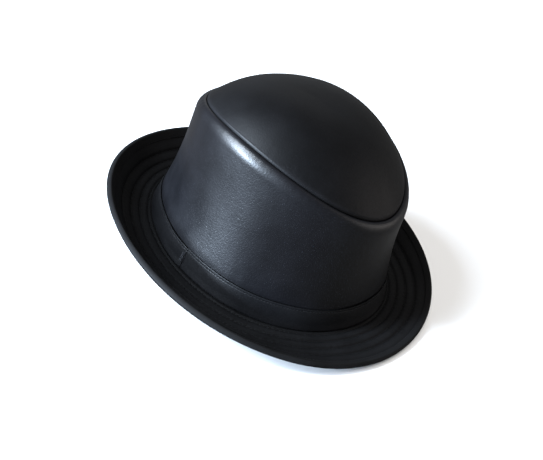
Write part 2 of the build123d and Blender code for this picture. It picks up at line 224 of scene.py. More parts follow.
def cap_faces(n, m):
    """Quads of a polar grid of n spokes by m rings, without its two poles."""
    i = np.arange(n)[:, None]
    j = np.arange(m - 1)[None, :]
    i2 = (i + 1) % n
    quads = np.stack(np.broadcast_arrays(i * m + j, i * m + j + 1, i2 * m + j + 1, i2 * m + j), -1)
    return quads.reshape(-1, 4).tolist()


def stitch_row(name, path, normals, stitch, material, arch=0.5, closed=True):
    """Separate stitches laid along a path; each arches up and dives into the leather."""
    pitch, share, radius = stitch[0] * MM, stitch[1], stitch[2] * MM
    if closed:
        path = np.concatenate([path, path[:1]])
        normals = np.concatenate([normals, normals[:1]])
    steps = np.linalg.norm(np.diff(path, axis=0), axis=1)
    along = np.concatenate([[0], np.cumsum(steps)])
    count = max(2, int(round(along[-1] / pitch)))
    pitch = along[-1] / count
    q = np.array([0.0, 0.06, 0.2, 0.5, 0.8, 0.94, 1.0])
    lift = np.array([-1.0, -0.1, 0.6, 1.0, 0.6, -0.1, -1.0])
    thin = np.array([0.45, 0.85, 1.0, 1.05, 1.0, 0.85, 0.45])
    s = (np.arange(count)[:, None] + (1 - share) / 2 + q[None, :] * share) * pitch
    point = np.stack([np.interp(s, along, path[:, k]) for k in range(3)], -1)
    up = np.stack([np.interp(s, along, normals[:, k]) for k in range(3)], -1)
    up /= np.linalg.norm(up, axis=-1, keepdims=True)
    ahead = np.gradient(point, axis=1)
    ahead /= np.linalg.norm(ahead, axis=-1, keepdims=True)
    side = np.cross(ahead, up)
    side /= np.linalg.norm(side, axis=-1, keepdims=True)
    centre = point + up * (lift * arch * radius)[None, :, None]
    sides = 7
    ring = np.arange(sides) * TAU / sides
    offset = side[:, :, None, :] * np.cos(ring)[None, None, :, None]
    offset = offset + up[:, :, None, :] * np.sin(ring)[None, None, :, None]
    verts = centre[:, :, None, :] + offset * (radius * thin)[None, :, None, None]
    one = tube_faces(len(q), sides, closed=False)
    faces = [[v + k * len(q) * sides for v in face] for k in range(count) for face in one]
    return add_mesh(name, verts, faces, material)


def keep(obj, slot, *replaced):
    """The piece rides on the hat's one body and stands for the CAD nodes it replaces."""
    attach(obj, "root")
    if replaced:
        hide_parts(*replaced)


# ---- materials ----
def shader(name):
    """New node material, its tree and its Principled shader."""
    mat = bpy.data.materials.new(name)
    mat.use_nodes = True
    tree = mat.node_tree
    bsdf = next(n for n in tree.nodes if n.type == "BSDF_PRINCIPLED")
    return mat, tree, bsdf


def node(tree, kind, **values):
    """New node; each value goes to the input socket of that name, or else to the property."""
    made = tree.nodes.new(kind)
    for key, value in values.items():
        if key in made.inputs:
            made.inputs[key].default_value = value
        else:
            setattr(made, key, value)
    return made


def ramp(tree, source, low, high, start=0.0, end=1.0):
    """Colour ramp between two greys or colours."""
    made = tree.nodes.new("ShaderNodeValToRGB")
    made.color_ramp.elements[0].position = start
    made.color_ramp.elements[1].position = end
    made.color_ramp.elements[0].color = (*low, 1)
    made.color_ramp.elements[1].color = (*high, 1)
    tree.links.new(source, made.inputs["Fac"])
    return made.outputs["Color"]


def span(tree, source, low, high, start=0.0, end=1.0):
    """Maps start to end onto low to high."""
    limits = {"From Min": start, "From Max": end, "To Min": low, "To Max": high}
    made = node(tree, "ShaderNodeMapRange", **limits)
    tree.links.new(source, made.inputs["Value"])
    return made.outputs["Result"]


def leather(name, dark, light, rough, cell=0.9, grain=0.2, worn_and_lit=None, specular=0.5):
    """Fine-grained leather: pebbled cells and pores in the bump, cloudy colour and gloss, and a lighter
    colour where the per-point mask is set: worn folds and edges, and painted highlight and painted light on
    the brim's ridges and binding strip.
    """
    mat, tree, bsdf = shader(name)
    link = tree.links.new
    coord = node(tree, "ShaderNodeTexCoord").outputs["Object"]
    cloud = node(tree, "ShaderNodeTexNoise", Scale=38.0, Detail=5.0, Roughness=0.6)
    patch = node(tree, "ShaderNodeTexNoise", Scale=11.0, Detail=3.0, Roughness=0.5)
    warp = node(tree, "ShaderNodeTexNoise", Scale=420.0, Detail=2.0, Roughness=0.5)
    cells = node(tree, "ShaderNodeTexVoronoi", feature="SMOOTH_F1", Scale=1000.0 / cell, Smoothness=0.6)
    creases = node(tree, "ShaderNodeTexVoronoi", feature="DISTANCE_TO_EDGE", Scale=380.0 / cell)
    fine = node(tree, "ShaderNodeTexNoise", Scale=2600.0, Detail=2.0, Roughness=0.6)
    uneven = node(tree, "ShaderNodeTexNoise", Scale=260.0, Detail=3.0, Roughness=0.55)
    for part in (cloud, patch, warp, fine, uneven):
        link(coord, part.inputs["Vector"])
    bent = node(tree, "ShaderNodeMixRGB", blend_type="LINEAR_LIGHT", Fac=0.0012)
    link(coord, bent.inputs["Color1"])
    link(warp.outputs["Color"], bent.inputs["Color2"])
    link(bent.outputs["Color"], cells.inputs["Vector"])
    link(bent.outputs["Color"], creases.inputs["Vector"])
    base = ramp(tree, cloud.outputs["Fac"], dark, light, 0.3, 0.75)
    # The per-point mask lightens the leather: real wear on folds and edges, and painted highlight and
    # painted light on the brim's ridges and the binding's upper strip.
    if worn_and_lit:
        wear_and_painted_light = node(tree, "ShaderNodeAttribute", attribute_name="wear_and_painted_light")
        rub_and_light = node(tree, "ShaderNodeMath", operation="MULTIPLY")
        link(wear_and_painted_light.outputs["Fac"], rub_and_light.inputs[0])
        link(span(tree, cloud.outputs["Fac"], 0.3, 1.0, 0.3, 0.7), rub_and_light.inputs[1])
        mix = node(tree, "ShaderNodeMixRGB")
        link(rub_and_light.outputs["Value"], mix.inputs["Fac"])
        link(base, mix.inputs["Color1"])
        mix.inputs["Color2"].default_value = (*worn_and_lit, 1)
        base = mix.outputs["Color"]
    link(base, bsdf.inputs["Base Color"])
    gloss = node(tree, "ShaderNodeMath", operation="ADD")
    link(span(tree, patch.outputs["Fac"], -0.035, 0.035, 0.3, 0.7), gloss.inputs[0])
    link(span(tree, cloud.outputs["Fac"], rough - 0.03, rough + 0.04, 0.3, 0.7), gloss.inputs[1])
    link(gloss.outputs["Value"], bsdf.inputs["Roughness"])
    mottle = node(tree, "ShaderNodeBump", Strength=0.35, Distance=0.00012)
    link(span(tree, uneven.outputs["Fac"], 0.0, 1.0), mottle.inputs["Height"])
    pebble = node(tree, "ShaderNodeBump", Strength=grain, Distance=0.00012)
    link(cells.outputs["Distance"], pebble.inputs["Height"])
    link(mottle.outputs["Normal"], pebble.inputs["Normal"])
    pebble.invert = True
    crease = node(tree, "ShaderNodeBump", Strength=grain * 0.8, Distance=0.00008)
    link(span(tree, creases.outputs["Distance"], 0.0, 1.0, 0.0, 0.12), crease.inputs["Height"])
    link(pebble.outputs["Normal"], crease.inputs["Normal"])
    pore = node(tree, "ShaderNodeBump", Strength=grain * 0.5, Distance=0.00004)
    link(fine.outputs["Fac"], pore.inputs["Height"])
    link(crease.outputs["Normal"], pore.inputs["Normal"])
    link(pore.outputs["Normal"], bsdf.inputs["Normal"])
    bsdf.inputs["Specular IOR Level"].default_value = specular
    return mat


def cloth(name, dark, light, rough, pitch=0.35, depth=0.3, sheen=0.3):
    """Woven cloth: crossing yarns in the bump, uneven colour and gloss."""
    mat, tree, bsdf = shader(name)
    link = tree.links.new
    coord = node(tree, "ShaderNodeTexCoord").outputs["Object"]
    cloud = node(tree, "ShaderNodeTexNoise", Scale=60.0, Detail=4.0, Roughness=0.6)
    link(coord, cloud.inputs["Vector"])
    height = None
    for turn in ((0.0, 0.0, 0.0), (0.0, 0.0, math.pi / 2), (math.pi / 2, 0.0, 0.0)):
        spin = node(tree, "ShaderNodeMapping", Rotation=turn)
        link(coord, spin.inputs["Vector"])
        wave = node(tree, "ShaderNodeTexWave", Scale=1000.0 / pitch / TAU, Distortion=0.4, Detail=1.0)
        link(spin.outputs["Vector"], wave.inputs["Vector"])
        if height is None:
            height = wave.outputs["Fac"]
            continue
        both = node(tree, "ShaderNodeMath", operation="ADD")
        link(height, both.inputs[0])
        link(wave.outputs["Fac"], both.inputs[1])
        height = both.outputs["Value"]
    link(ramp(tree, cloud.outputs["Fac"], dark, light, 0.3, 0.7), bsdf.inputs["Base Color"])
    link(span(tree, cloud.outputs["Fac"], rough - 0.05, rough + 0.05, 0.3, 0.7), bsdf.inputs["Roughness"])
    bump = node(tree, "ShaderNodeBump", Strength=depth, Distance=0.0001)
    link(height, bump.inputs["Height"])
    link(bump.outputs["Normal"], bsdf.inputs["Normal"])
    bsdf.inputs["Sheen Weight"].default_value = sheen
    bsdf.inputs["Sheen Roughness"].default_value = 0.4
    return mat


def yarn(name, dark, light, rough):
    """Twisted sewing thread."""
    mat, tree, bsdf = shader(name)
    link = tree.links.new
    coord = node(tree, "ShaderNodeTexCoord").outputs["Object"]
    twist = node(tree, "ShaderNodeTexWave", bands_direction="DIAGONAL", Scale=1100.0, Distortion=0.3)
    cloud = node(tree, "ShaderNodeTexNoise", Scale=200.0, Detail=2.0)
    link(coord, twist.inputs["Vector"])
    link(coord, cloud.inputs["Vector"])
    link(ramp(tree, cloud.outputs["Fac"], dark, light, 0.3, 0.7), bsdf.inputs["Base Color"])
    link(span(tree, cloud.outputs["Fac"], rough - 0.05, rough + 0.05, 0.3, 0.7), bsdf.inputs["Roughness"])
    bump = node(tree, "ShaderNodeBump", Strength=0.4, Distance=0.00008)
    link(twist.outputs["Fac"], bump.inputs["Height"])
    link(bump.outputs["Normal"], bsdf.inputs["Normal"])
    bsdf.inputs["Specular IOR Level"].default_value = 0.15
    return mat


crown_hide = leather(
    "crown_leather", (0.0016, 0.0017, 0.0024), (0.0026, 0.0027, 0.0040), 0.37,
    worn_and_lit=(0.008, 0.008, 0.010), grain=0.32, specular=0.38,
)
tip_hide = leather(
    "tip_leather", (0.0015, 0.0015, 0.0018), (0.0025, 0.0025, 0.0030), 0.5,
    worn_and_lit=(0.006, 0.006, 0.007), grain=0.3, specular=0.17,
)
band_hide = leather(
    "band_leather", (0.0014, 0.0015, 0.0022), (0.0023, 0.0024, 0.0034), 0.44,
    worn_and_lit=(0.0035, 0.0035, 0.0045), grain=0.3, specular=0.45,
)
brim_hide = leather(
    "brim_leather", (0.0020, 0.0020, 0.0022), (0.0034, 0.0034, 0.0037), 0.62,
    worn_and_lit=(0.0055, 0.0055, 0.006), specular=0.1,
)
binding_hide = leather(
    "binding_leather", (0.0045, 0.0045, 0.0047), (0.0068, 0.0068, 0.0072), 0.64,
    worn_and_lit=(0.0095, 0.0095, 0.0098), specular=0.07,
)
# Darker, matte leather for the band's top edge: painted shade, standing for the contact shadow line along
# it.
edge_painted_shade = leather("band_edge_painted_shade", (0.0012, 0.0012, 0.0014), (0.0022, 0.0022, 0.0024), 0.85, specular=0.03)
sweat_hide = leather(
    "sweatband_leather", (0.006, 0.0056, 0.0052), (0.010, 0.0092, 0.0085), 0.55,
    cell=0.7, worn_and_lit=(0.02, 0.019, 0.017), specular=0.35,
)
satin = cloth(
    "lining_satin", (0.012, 0.012, 0.014), (0.02, 0.02, 0.023), 0.38,
    pitch=0.25, depth=0.12, sheen=0.4,
)
felt = cloth("stiffener_felt", (0.5, 0.49, 0.46), (0.62, 0.6, 0.56), 0.9, pitch=0.8, depth=0.5, sheen=0.2)
twill = cloth("seam_tape", (0.015, 0.015, 0.016), (0.025, 0.025, 0.026), 0.8, pitch=0.5, depth=0.5)
woven = cloth("blank_label", (0.045, 0.045, 0.048), (0.07, 0.07, 0.074), 0.5, pitch=0.3, depth=0.25)
black_thread = yarn("black_thread", (0.003, 0.003, 0.0033), (0.006, 0.006, 0.0065), 0.7)
tack_thread = yarn("tack_thread", (0.009, 0.009, 0.011), (0.02, 0.021, 0.025), 0.5)

for name, mat in (
    ("tip_interlining", felt), ("wall_interlining", felt), ("brim_interlining", felt),
    ("tip_seam_tape", twill), ("back_seam_tape", twill), ("head_seam_tape", twill),
):
    mesh = nodes[name].data
    mesh.materials.clear()
    mesh.materials.append(mat)


# ---- crown ----
def push(u, v, d):
    """Moves profile points sideways, to the right of their direction."""
    du, dv = np.gradient(u, axis=1), np.gradient(v, axis=1)
    size = np.hypot(du, dv) + 1e-9
    return u + d * dv / size, v - d * du / size


def wrap(outer, inner):
    """One closed profile: out along the outer run and back along the inner one."""
    return [np.concatenate([a, b[:, ::-1]], 1) for a, b in zip(outer, inner)]


def wall_skin(t, low=GAP, rows=46, round_rows=16):
    """Outer skin of the wall, from the brim up over the shoulder to the seam."""
    u1, v1 = shoulder(t)
    u2, v2 = seam(t)
    v = low + (v1[:, None] - low) * np.linspace(0, 1, rows)[None, :]
    u = wall_at(t, v)
    g = np.linspace(0, math.pi / 2, round_rows + 1)[None, 1:]
    over_u = u1[:, None] + (u2 - u1)[:, None] * (1 - np.cos(g))
    over_v = v1[:, None] + (v2 - v1)[:, None] * np.sin(g)
    return np.concatenate([u, over_u], 1), np.concatenate([v, over_v], 1)


def make_crown_wall():
    """Wall panel: soft unevenness, puckers at the seam, and the sunk seam at the centre back."""
    t = ring_angles(760)
    u, v = wall_skin(t)
    u2, v2 = seam(t)
    from_seam = v2[:, None] - v
    tt = t[:, None]
    soft = soft_noise(tt, v / 40, 6, (1, 6), 0.30, 11) + soft_noise(tt, v / 16, 8, (7, 17), 0.07, 12)
    pucker = soft_noise(tt, v / 12, 7, (52, 95), 0.022, 13) * bell(from_seam - 1.5, 3.0)
    foot = soft_noise(tt, v / 9, 6, (30, 60), 0.03, 14) * bell(v - BAND_HEIGHT, 6.0)
    settle = np.clip(from_seam / 6.0, 0, 1)
    back = np.abs(tt - math.pi) * HEAD_WIDTH
    crease = -0.75 * bell(back, 0.35) + 0.16 * bell(back - 1.6, 1.2)
    u, v = push(u, v, soft * settle + pucker + foot + crease * np.clip(from_seam / 2.0, 0.3, 1))
    roll_u = np.array([-0.45, -0.70, -0.84, -0.93, -0.98, -1.0])
    roll_v = np.array([-0.01, -0.08, -0.28, -0.7, -1.8, -3.4])
    inside_v = np.array([-3.4, -2.4])
    fold_u = u2[:, None] + np.concatenate([roll_u, [-0.2, -0.1]])[None, :]
    fold_v = v2[:, None] + np.concatenate([roll_v, inside_v])[None, :]
    iu, iv = wall_skin(t, rows=12, round_rows=4)
    iu, iv = push(iu, iv, -WALL_LEATHER)
    u = np.concatenate([u, fold_u, iu[:, -2::-1]], 1)
    v = np.concatenate([v, fold_v, iv[:, -2::-1]], 1)
    wear_and_painted_light = np.zeros_like(u)
    count = from_seam.shape[1]
    wear_and_painted_light[:, :count] = 0.3 * bell(from_seam - 0.1, 0.5) + 0.5 * bell(back - 1.2, 0.8)
    obj = add_mesh("crown_wall_leather", place(t, u, v), tube_faces(len(t), u.shape[1]), crown_hide, wear_and_painted_light)
    keep(obj, "crown_leather", "crown_wall")


def dome_cap(name, insets, drops, material, ripple, count=520, wear_and_painted_light=None, rise=None):
    """Closed cap under the dome: rings given by inset from the seam oval and drop below the dome."""
    tau = np.linspace(0, TAU, count, endpoint=False)[:, None]
    inset, drop = np.array(insets)[None, :], np.array(drops)[None, :]
    stretch = 1 + (SEAM_LENGTH / SEAM_WIDTH - 1) * np.clip(inset / SEAM_WIDTH, 0, 1) ** 2
    x = (SEAM_WIDTH - inset) * np.sin(tau)
    y = -(SEAM_LENGTH - inset * stretch) * np.cos(tau) - CROWN_SHIFT
    z = dome(x, y) - drop + DECK
    if rise is not None:
        z = np.where(np.isnan(rise)[None, :], z, rise[None, :] + seam_level(tau))
    z = z + ripple(tau, inset, drop)
    rings = np.stack([x, y, z], -1)
    m = rings.shape[1]
    first = rings[:, 0].mean(0)
    last = rings[:, -1].mean(0)
    verts = np.concatenate([rings.reshape(-1, 3), [first, last]]) * MM
    faces = cap_faces(count, m)
    a, b = count * m, count * m + 1
    faces += [[i * m, ((i + 1) % count) * m, a] for i in range(count)]
    faces += [[((i + 1) % count) * m + m - 1, i * m + m - 1, b] for i in range(count)]
    if wear_and_painted_light is not None:
        wear_and_painted_light = np.concatenate([np.broadcast_to(wear_and_painted_light(inset, drop), (count, m)).ravel(), [0, 0]])
    return add_mesh(name, verts, faces, material, wear_and_painted_light)


def make_crown_tip():
    """Domed tip whose edge rolls down into the seam."""
    edge_inset = [1.52, 1.42, 1.36, 1.37, 1.44, 1.58, 1.80]
    edge_rise = np.array([-3.4, -1.6, 0.1, 0.75, 1.20, 1.60, 2.05])
    top_inset = np.concatenate([edge_inset, 2.15 + (SEAM_WIDTH - 2.15) * np.linspace(0, 0.985, 60) ** 1.4])
    under = np.array([SEAM_WIDTH * 0.97, 50, 30, 15, 8, 4.5, 3.0])
    insets = np.concatenate([under, top_inset])
    drops = np.concatenate([np.full(len(under), TIP_LEATHER), np.zeros(len(top_inset))])
    rise = np.full(len(insets), np.nan)
    rise[len(under):len(under) + len(edge_rise)] = edge_rise

    def ripple(tau, inset, drop):
        on_top = (drop == 0) * np.clip((inset - 2.2) / 6.0, 0, 1)
        broad = soft_noise(tau, inset / 30, 6, (1, 4), 0.30, 21) * np.clip(1 - inset / SEAM_WIDTH, 0, 1)
        small = soft_noise(tau, inset / 14, 7, (6, 14), 0.06, 22) * np.clip(1.1 - inset / 45, 0, 1)
        pucker = soft_noise(tau, inset / 9, 7, (50, 92), 0.03, 23) * bell(inset - 3.6, 3.0) * (drop == 0)
        return on_top * (broad + small) + pucker

    def wear_and_painted_light(inset, drop):
        return (drop == 0) * 0.7 * bell(inset - 1.9, 0.9)

    obj = dome_cap("crown_tip_leather", insets, drops, tip_hide, ripple, wear_and_painted_light=wear_and_painted_light, rise=rise)
    keep(obj, "crown_leather", "crown_tip")


def seam_path(count=900):
    """Line of the stitches that sit deep in the seam between wall and tip."""
    tau = np.linspace(0, TAU, count, endpoint=False)
    x = (SEAM_WIDTH - 1.18) * np.sin(tau)
    y = -(SEAM_LENGTH - 1.18) * np.cos(tau) - CROWN_SHIFT
    return np.stack([x, y, seam_level(tau) - 1.5], -1) * MM, np.tile([0.0, 0.0, 1.0], (count, 1))


def make_linings():
    """Satin linings of the wall and the tip, gathered where they are sewn in."""
    t = np.linspace(0, TAU, 480, endpoint=False)
    tt = t[:, None]
    _, v1 = shoulder(t)
    v = 0.15 + (v1[:, None] - 0.15) * np.linspace(0, 1, 30)[None, :]
    u = wall_at(t, v)
    gather = np.abs(soft_noise(tt, v / 50, 8, (18, 46), 0.32, 31)) * np.clip((v - 26) / 20, 0, 1)
    gather = gather * np.clip((v1[:, None] - v) / 6, 0.25, 1)
    us, vs = wrap(push(u, v, -LINING_FACE), push(u, v, -LINING_INSIDE - gather))
    obj = add_mesh("wall_lining_satin", place(t, us, vs), tube_faces(len(t), us.shape[1]), satin)
    keep(obj, "lining", "wall_lining")
    reach_in = 3.15 - SEAM_INSET
    under = reach_in + (SEAM_WIDTH - reach_in) * np.linspace(0.985, 0, 44) ** 1.2
    over = reach_in + (SEAM_WIDTH - reach_in) * np.linspace(0, 0.985, 12)
    insets = np.concatenate([under, over])
    drops = np.concatenate([np.full(len(under), LINING_DROP + 0.5), np.full(len(over), LINING_DROP)])

    def ripple(tau, inset, drop):
        edge = bell(inset - reach_in, 22.0)
        pleat = -np.abs(soft_noise(tau, inset / 60, 8, (18, 44), 0.45, 32)) * edge
        inward = np.clip(1 - inset / SEAM_WIDTH, 0, 1)
        broad = -np.abs(soft_noise(tau, inset / 30, 5, (1, 5), 0.5, 33)) * inward
        return (drop > LINING_DROP) * (pleat + broad) * np.clip((inset - reach_in) / 2, 0, 1)

    obj = dome_cap("tip_lining_satin", insets, drops, satin, ripple, count=400)
    keep(obj, "lining", "tip_lining")


# ---- brim ----
def make_brim_upper():
    """Upper leather: padded ridges between the stitched rows, which sink in and pull."""
    t = ring_angles(820)
    tt = t[:, None]
    w, _ = brim_size(t)
    share = (BRIM_INNER / w)[:, None]
    spots = np.linspace(0, 1, 150)[None, :]
    f = share + (1 - share) * spots
    u, v, nu, nv = brim_at(t, f)
    edges = np.array([0.0, *ROWS[::-1], 0.93])
    lift = np.zeros_like(f)
    for low, high in zip(edges[:-1], edges[1:]):
        x = np.clip((f - low) / (high - low), 0, 1)
        between = (f > low) & (f < high)
        lift += RIDGE * np.sin(math.pi * x) ** 0.8 * between * min(1.0, (high - low) / 0.15)
    for row in ROWS:
        gap = (f - row) * w[:, None]
        pull = soft_noise(tt, f * 5, 7, (90, 170), 1.0, int(row * 1000))
        lift -= GROOVE * bell(gap, 0.95)
        lift += 0.07 * pull * bell(np.abs(gap) - 1.4, 1.6)
    lift += soft_noise(tt, f * 4, 6, (2, 9), 0.16, 41) * np.clip(f * 4, 0, 1) * np.clip((1 - f) * 8, 0, 1)
    lift = lift * np.clip((1 - f) * w[:, None] / 3.0, 0, 1) - 0.12 * (f > 0.92)
    lift = np.where(f < 0.05, np.minimum(lift, 0), lift)
    top = u + nu * lift, v + nv * lift
    f2 = share + (1 - share) * np.linspace(0, 1, 26)[None, :]
    u, v, nu, nv = brim_at(t, f2)
    us, vs = wrap(top, (u - UPPER * nu, v - UPPER * nv))
    wear_and_painted_light = np.zeros_like(us)
    # Ridge crests lighter by their height: part rubbed leather, part painted highlight on the raised
    # ridges.
    wear_and_painted_light[:, :f.shape[1]] = np.clip(lift / RIDGE, 0, 1) ** 2
    obj = add_mesh("brim_upper_leather", place(t, us, vs), tube_faces(len(t), us.shape[1]), brim_hide, wear_and_painted_light)
    keep(obj, "brim_leather", "brim_upper")


def make_brim_lower():
    """Lower leather, flat round the head opening, with the rows' grooves."""
    t = ring_angles(620)
    tt = t[:, None]
    w, _ = brim_size(t)
    share = (BRIM_INNER / w)[:, None]
    f = share + (1 - share) * np.linspace(0, 1, 26)[None, :]
    u, v, nu, nv = brim_at(t, f)
    top = u - (DECK - LOWER) * nu, v - (DECK - LOWER) * nv
    f = share + (1 - share) * np.linspace(0, 1, 110)[None, :]
    u, v, nu, nv = brim_at(t, f)
    sink = np.zeros_like(f)
    for row in ROWS:
        gap = (f - row) * w[:, None]
        pull = soft_noise(tt, f * 5, 6, (90, 170), 1.0, int(row * 1000) + 7)
        sink += UNDER_GROOVE * bell(gap, 0.7)
        sink += 0.04 * pull * bell(np.abs(gap) - 1.4, 1.6)
    low_u, low_v = u - (DECK + GAP - sink) * nu, v - (DECK + GAP - sink) * nv
    low_v = np.maximum(low_v, -DECK + np.clip(sink, 0, 1))
    us, vs = wrap(top, (low_u, low_v))
    faces = tube_faces(len(t), us.shape[1])
    obj = add_mesh("brim_lower_leather", place(t, us, vs), faces, brim_hide, np.zeros_like(us))
    keep(obj, "brim_leather", "brim_lower")


def make_binding():
    """Strip folded round the brim's edge: upper face, rounded nose, lower face, and its inside."""
    t = ring_angles(1100)
    tt = t[:, None]
    w, _ = brim_size(t)
    run = np.linspace(1, 0, 12)[None, :]
    u, v, nu, nv = brim_at(t, 1 - BINDING_WIDTH / w[:, None] * run)
    along = (1 - run) * BINDING_WIDTH
    pucker = soft_noise(tt, along / 3, 8, (120, 260), 0.05, 51) * bell(along - 0.6, 1.6)
    edge = -0.55 * bell(along, 0.25) - 0.12 * bell(along - 0.75, 0.35)
    height = BINDING + 0.08 * np.sin(math.pi * np.clip(along / BINDING_WIDTH, 0, 1)) + pucker + edge
    up_u, up_v = u + nu * height, v + nv * height
    down = DECK + BINDING + pucker * 0.8 + edge
    dn_u, dn_v = u - nu * down, v - nv * down
    eu, ev, enu, env = brim_at(t, np.ones((len(t), 1)))
    mid_u, mid_v = eu - enu * DECK / 2, ev - env * DECK / 2
    turn = np.linspace(math.pi / 2, -math.pi / 2, 15)[None, 1:-1]
    half = DECK / 2 + BINDING
    nose_u = mid_u + env * BINDING_NOSE * np.cos(turn) + enu * half * np.sin(turn)
    nose_v = mid_v - enu * BINDING_NOSE * np.cos(turn) + env * half * np.sin(turn)
    in_u, in_v = u + nu * 0.06, v + nv * 0.06
    out_u, out_v = u - nu * (DECK + 0.1), v - nv * (DECK + 0.1)
    us = np.concatenate([up_u, nose_u, dn_u[:, ::-1], out_u[:, ::3], in_u[:, ::-3]], 1)
    vs = np.concatenate([up_v, nose_v, dn_v[:, ::-1], out_v[:, ::3], in_v[:, ::-3]], 1)
    wear_and_painted_light = np.zeros_like(us)
    nose = slice(up_u.shape[1] - 2, up_u.shape[1] + nose_u.shape[1] + 2)
    wear_and_painted_light[:, nose] = 0.6 * bell(np.linspace(-1, 1, nose.stop - nose.start), 0.75)[None, :]
    # Inner strip of the upper face lighter: part edge wear, part painted light on this upward face.
    wear_and_painted_light[:, :4] = 0.25
    faces = tube_faces(len(t), us.shape[1])
    obj = add_mesh("brim_binding_strip", place(t, us, vs), faces, binding_hide, wear_and_painted_light)
    keep(obj, "binding_leather", "brim_binding")


def with_normals(t, u, v, u2, v2):
    """Path through u and v, with its normals towards a second line 1 mm from it."""
    path = place(t, u, v)[:, 0]
    return path, (place(t, u2, v2)[:, 0] - path) / MM


def brim_path(share, inset, out, count=1400):
    """Path and normals a distance out from the brim's upper skin, at an inset from a share of its width."""
    t = np.linspace(0, TAU, count, endpoint=False)
    w, _ = brim_size(t)
    u, v, nu, nv = brim_at(t, (share - inset / w)[:, None])
    return with_normals(t, u + nu * out, v + nv * out, u + nu * (out + 1), v + nv * (out + 1))


# ---- band ----
def band_face(t, v):
    """Distances of the band's inner and outer faces from the wall; one end rides over the other."""
    travel = np.clip((np.degrees(t) - LIFT_FROM) / (LIFT_TO - LIFT_FROM), 0, 1)
    nominal = FLUSH + (BAND_THICKNESS - FLUSH) * np.clip(1 - v / 5, 0, 1)
    to_end = (math.radians(BAND_END) - t) * HEAD_WIDTH
    skived = nominal * (1 - 0.7 * np.clip(1 - to_end / 4.0, 0, 1) ** 1.5)
    inner = 0.12 + travel**2 * (3 - 2 * travel) * (nominal + 0.05)
    return inner, inner + skived


def make_band():
    """Band with a rounded top edge, a stitched line and one end over the other. Its top edge gets a darker,
    matte material: painted shade for the contact shadow along that edge.
    """
    t = np.radians(np.linspace(BAND_START, BAND_END, 1150))
    tt = t[:, None]
    h = BAND_HEIGHT
    stitch = BAND_ROW
    body = np.linspace(1.2, h - 3.4, 16)
    edge = stitch + np.array([-0.75, -0.4, -0.15, 0.0, 0.15, 0.4, 0.7, 1.1, 1.45, 1.75, 2.0, 2.15])
    v_out = np.concatenate([[0.12, 0.25, 0.6], body, edge])
    v = np.broadcast_to(v_out[None, :], (len(t), len(v_out)))
    _, outer = band_face(tt, v)
    top = np.clip((v - (h - 0.4)) / 0.4, 0, 1)
    low = np.clip((0.7 - v) / 0.7, 0, 1)
    middle_share = np.sin(math.pi * np.clip(v / h, 0, 1))
    outer = outer - 0.32 * top**2.2 - 0.3 * low**2
    outer = outer - 0.1 * bell(v - stitch, 0.3) + 0.03 * bell(v - stitch - 1.1, 0.6)
    outer = outer + soft_noise(tt, v / 7, 6, (3, 14), 0.07, 61) * middle_share
    outer = outer + soft_noise(tt, v / 4, 7, (70, 130), 0.02, 62) * bell(v - stitch, 2.0)
    ou, ov = push(wall_at(t, v), v, outer)
    ov = ov + soft_noise(tt, 0, 5, (3, 12), 0.18, 63) * np.clip(v / h, 0, 1) ** 3
    to_end = (t[-1] - tt) * HEAD_WIDTH
    ov = ov - 0.9 * np.clip(1 - to_end / 5.0, 0, 1) ** 2 * np.clip(v / h, 0, 1) ** 6
    v_in = np.broadcast_to(np.linspace(0.15, h - 0.1, 8)[None, :], (len(t), 8))
    us, vs = wrap((ou, ov), push(wall_at(t, v_in), v_in, band_face(tt, v_in)[0]))
    wear_and_painted_light = np.zeros_like(us)
    count = len(v_out)
    wear_and_painted_light[:, :count] = 0.25 * bell(v - (h - 0.2), 0.3)
    end = np.minimum(tt - t[0], t[-1] - tt) * HEAD_WIDTH
    wear_and_painted_light = np.maximum(wear_and_painted_light, 0.6 * bell(end, 0.5))
    faces = tube_faces(len(t), us.shape[1], closed=False)
    obj = add_mesh("hat_band_leather", place(t, us, np.maximum(vs, 0.1)), faces, band_hide, wear_and_painted_light)
    # The top edge's faces take the darker matte material: painted shade along the band's top edge.
    obj.data.materials.append(edge_painted_shade)
    for face in obj.data.polygons:
        if count - 3 <= face.index % us.shape[1] <= count - 1:
            face.material_index = 1
    keep(obj, "band_leather", "hat_band")


def wall_path(t, v, out_at, way=1):
    """Path and normals along height v, at the distance out_at(heights) from the wall's outer skin."""
    heights = np.broadcast_to(np.array([[v - 0.5, v, v + 0.5]]), (len(t), 3))
    skin, out = wall_at(t, heights), out_at(heights)
    u, h = push(skin, heights, out)
    u2, h2 = push(skin, heights, out + way)
    return with_normals(t, u[:, 1:2], h[:, 1:2], u2[:, 1:2], h2[:, 1:2])


def band_path(t, v, out):
    """Path and normals a little off the band's outer face."""
    return wall_path(t, v, lambda heights: band_face(t[:, None], heights)[1] + out)


def make_tack():
    """Bar tack: short threads laid side by side across the band's end."""
    centre = math.radians(BAND_END) - 1.7 / HEAD_WIDTH
    half = TACK_WIDTH / 2 / HEAD_WIDTH
    rng = np.random.default_rng(7)
    made = []
    for i, h in enumerate(np.linspace(TACK_LOW, TACK_HIGH, 17)):
        lean = 0.22 if i % 2 else -0.22
        first, n1 = band_path(np.array([centre - half]), h - lean, 0.12)
        crest, n2 = band_path(np.array([centre]), h, 0.32 + rng.uniform(0, 0.06))
        last, n3 = band_path(np.array([centre + half]), h + lean, 0.12)
        path, normals = np.concatenate([first, crest, last]), np.concatenate([n1, n2, n3])
        made.append(stitch_row(f"tack_{i}", path, normals, TACK_STITCH, tack_thread, closed=False))
    bpy.ops.object.select_all(action="DESELECT")
    for obj in made:
        obj.select_set(True)
    bpy.context.view_layer.objects.active = made[0]
    bpy.ops.object.join()
    made[0].name = "band_tack_stitches"
    keep(made[0], "thread", "band_tack")


